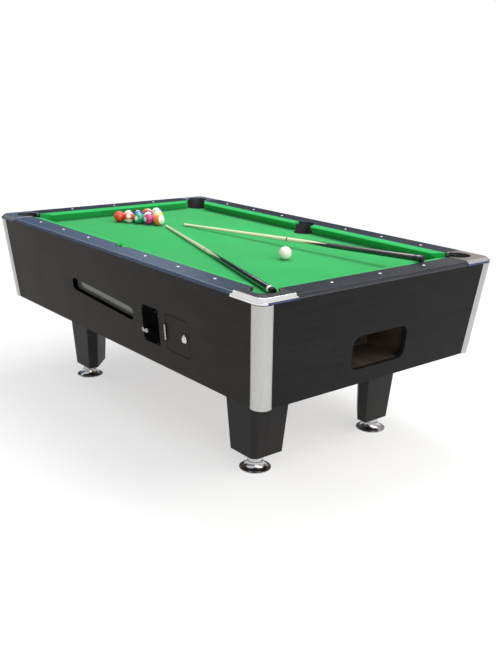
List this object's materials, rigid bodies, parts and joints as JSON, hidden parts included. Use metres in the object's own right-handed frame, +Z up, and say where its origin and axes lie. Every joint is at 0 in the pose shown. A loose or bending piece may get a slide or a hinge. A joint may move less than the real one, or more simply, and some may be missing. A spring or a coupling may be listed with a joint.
{
  "type": "coin-operated pool table",
  "caption": "Coin-operated pool table: dark leaning cabinet on tapered legs, green cloth bed, metal corner caps, pockets that lead to a ball return, coin slide, cash door, balls and cues.",
  "frame": {"origin": "on the floor, under the middle of the table", "axes": "+X along the table to the end with the ball return opening, -Y to the side with the window and coin gear, +Z up"},
  "size_m": [2.088, 1.2781, 0.8559],
  "materials": {
    "laminate": "dark satin laminate on board",
    "leg_laminate": "black satin laminate on board",
    "board": "plain matt board",
    "trim": "satin extrusion",
    "cap": "polished casting",
    "foot_chrome": "bright",
    "slate": "honed slate",
    "bed_cloth": "napped green cloth",
    "cushion_cloth": "napped green cloth over a rubber profile",
    "rail": "charcoal laminate on board",
    "liner": "black moulded",
    "pane": "clear",
    "run_plastic": "black moulded",
    "coin_black": "black coated",
    "chrome": "bright",
    "steel": "dark coated steel",
    "cue_ball": "polished",
    "object_ball": "polished",
    "cue": "lacquered maple"
  },
  "bodies": {
    "table": {"ball_tray": "run_plastic", "bed_cloth": "bed_cloth", "cabinet_floor": "board", "cash_box": "steel", "cash_shelf": "steel", "coin_plate": "coin_black", "corner_cap_foot_front": "cap", "corner_cap_foot_rear": "cap", "corner_cap_head_front": "cap", "corner_cap_head_rear": "cap", "corner_trim_foot_front": "trim", "corner_trim_foot_rear": "trim", "corner_trim_head_front": "trim", "corner_trim_head_rear": "trim", "cushion_foot": "cushion_cloth", "cushion_front_foot": "cushion_cloth", "cushion_front_head": "cushion_cloth", "cushion_head": "cushion_cloth", "cushion_rear_foot": "cushion_cloth", "cushion_rear_head": "cushion_cloth", "door_hinge": "chrome", "foot_end_panel": "laminate", "front_gutter": "run_plastic", "front_side_panel": "laminate", "head_end_panel": "laminate", "head_gutter": "run_plastic", "leg_foot_front": "leg_laminate", "leg_foot_rear": "leg_laminate", "leg_head_front": "leg_laminate", "leg_head_rear": "leg_laminate", "pocket_liner_foot_front": "liner", "pocket_liner_foot_rear": "liner", "pocket_liner_head_front": "liner", "pocket_liner_head_rear": "liner", "pocket_liner_side_front": "liner", "pocket_liner_side_rear": "liner", "rear_gutter": "run_plastic", "rear_side_panel": "laminate", "return_box": "board", "return_chute": "run_plastic", "slate_beam": "board", "slate_bed": "slate", "top_rail_foot": "rail", "top_rail_front": "rail", "top_rail_head": "rail", "top_rail_rear": "rail", "window_pane": "pane"},
    "coin_slide": {"coin_slide": "chrome", "trap_gate": "steel"},
    "cash_door": {"cash_door": "steel"},
    "door_lock": {"door_lock": "chrome"},
    "cue_ball": {"cue_ball": "cue_ball"},
    "object_balls": {"object_balls": "object_ball"},
    "cue_front": {"cue_front": "cue"},
    "cue_rear": {"cue_rear": "cue"},
    "foot_head_front": {"levelling_foot_head_front": "foot_chrome"},
    "foot_head_rear": {"levelling_foot_head_rear": "foot_chrome"},
    "foot_foot_front": {"levelling_foot_foot_front": "foot_chrome"},
    "foot_foot_rear": {"levelling_foot_foot_rear": "foot_chrome"}
  },
  "joints": [
    {"name": "level_head_front", "type": "slide", "parent": "table", "child": "foot_head_front", "axis": [0, 0, -1], "range_m": [0, 0.025]},
    {"name": "level_head_rear", "type": "slide", "parent": "table", "child": "foot_head_rear", "axis": [0, 0, -1], "range_m": [0, 0.025]},
    {"name": "level_foot_front", "type": "slide", "parent": "table", "child": "foot_foot_front", "axis": [0, 0, -1], "range_m": [0, 0.025]},
    {"name": "level_foot_rear", "type": "slide", "parent": "table", "child": "foot_foot_rear", "axis": [0, 0, -1], "range_m": [0, 0.025]},
    {"name": "cash_door_swing", "type": "hinge", "parent": "table", "child": "cash_door", "pos_m": [0.4383, -0.61274, 0.56402], "axis": [0, 0.0996, -0.995], "range_deg": [0, 105]},
    {"name": "lock_turn", "type": "hinge", "parent": "cash_door", "child": "door_lock", "pos_m": [0.569, -0.60796, 0.5645], "axis": [0, -0.995, -0.0996], "range_deg": [0, 90]},
    {"name": "coin_push", "type": "slide", "parent": "table", "child": "coin_slide", "axis": [0, 0.995, 0.0996], "range_m": [0, 0.0225]},
    {"name": "cue_ball_lift", "type": "slide", "parent": "table", "child": "cue_ball", "axis": [0, 0, 1], "range_m": [0, 0.25]},
    {"name": "object_balls_lift", "type": "slide", "parent": "table", "child": "object_balls", "axis": [0, 0, 1], "range_m": [0, 0.25]},
    {"name": "cue_front_lift", "type": "slide", "parent": "table", "child": "cue_front", "axis": [0, 0, 1], "range_m": [0, 0.25]},
    {"name": "cue_rear_lift", "type": "slide", "parent": "table", "child": "cue_rear", "axis": [0, 0, 1], "range_m": [0, 0.25]}
  ]
}
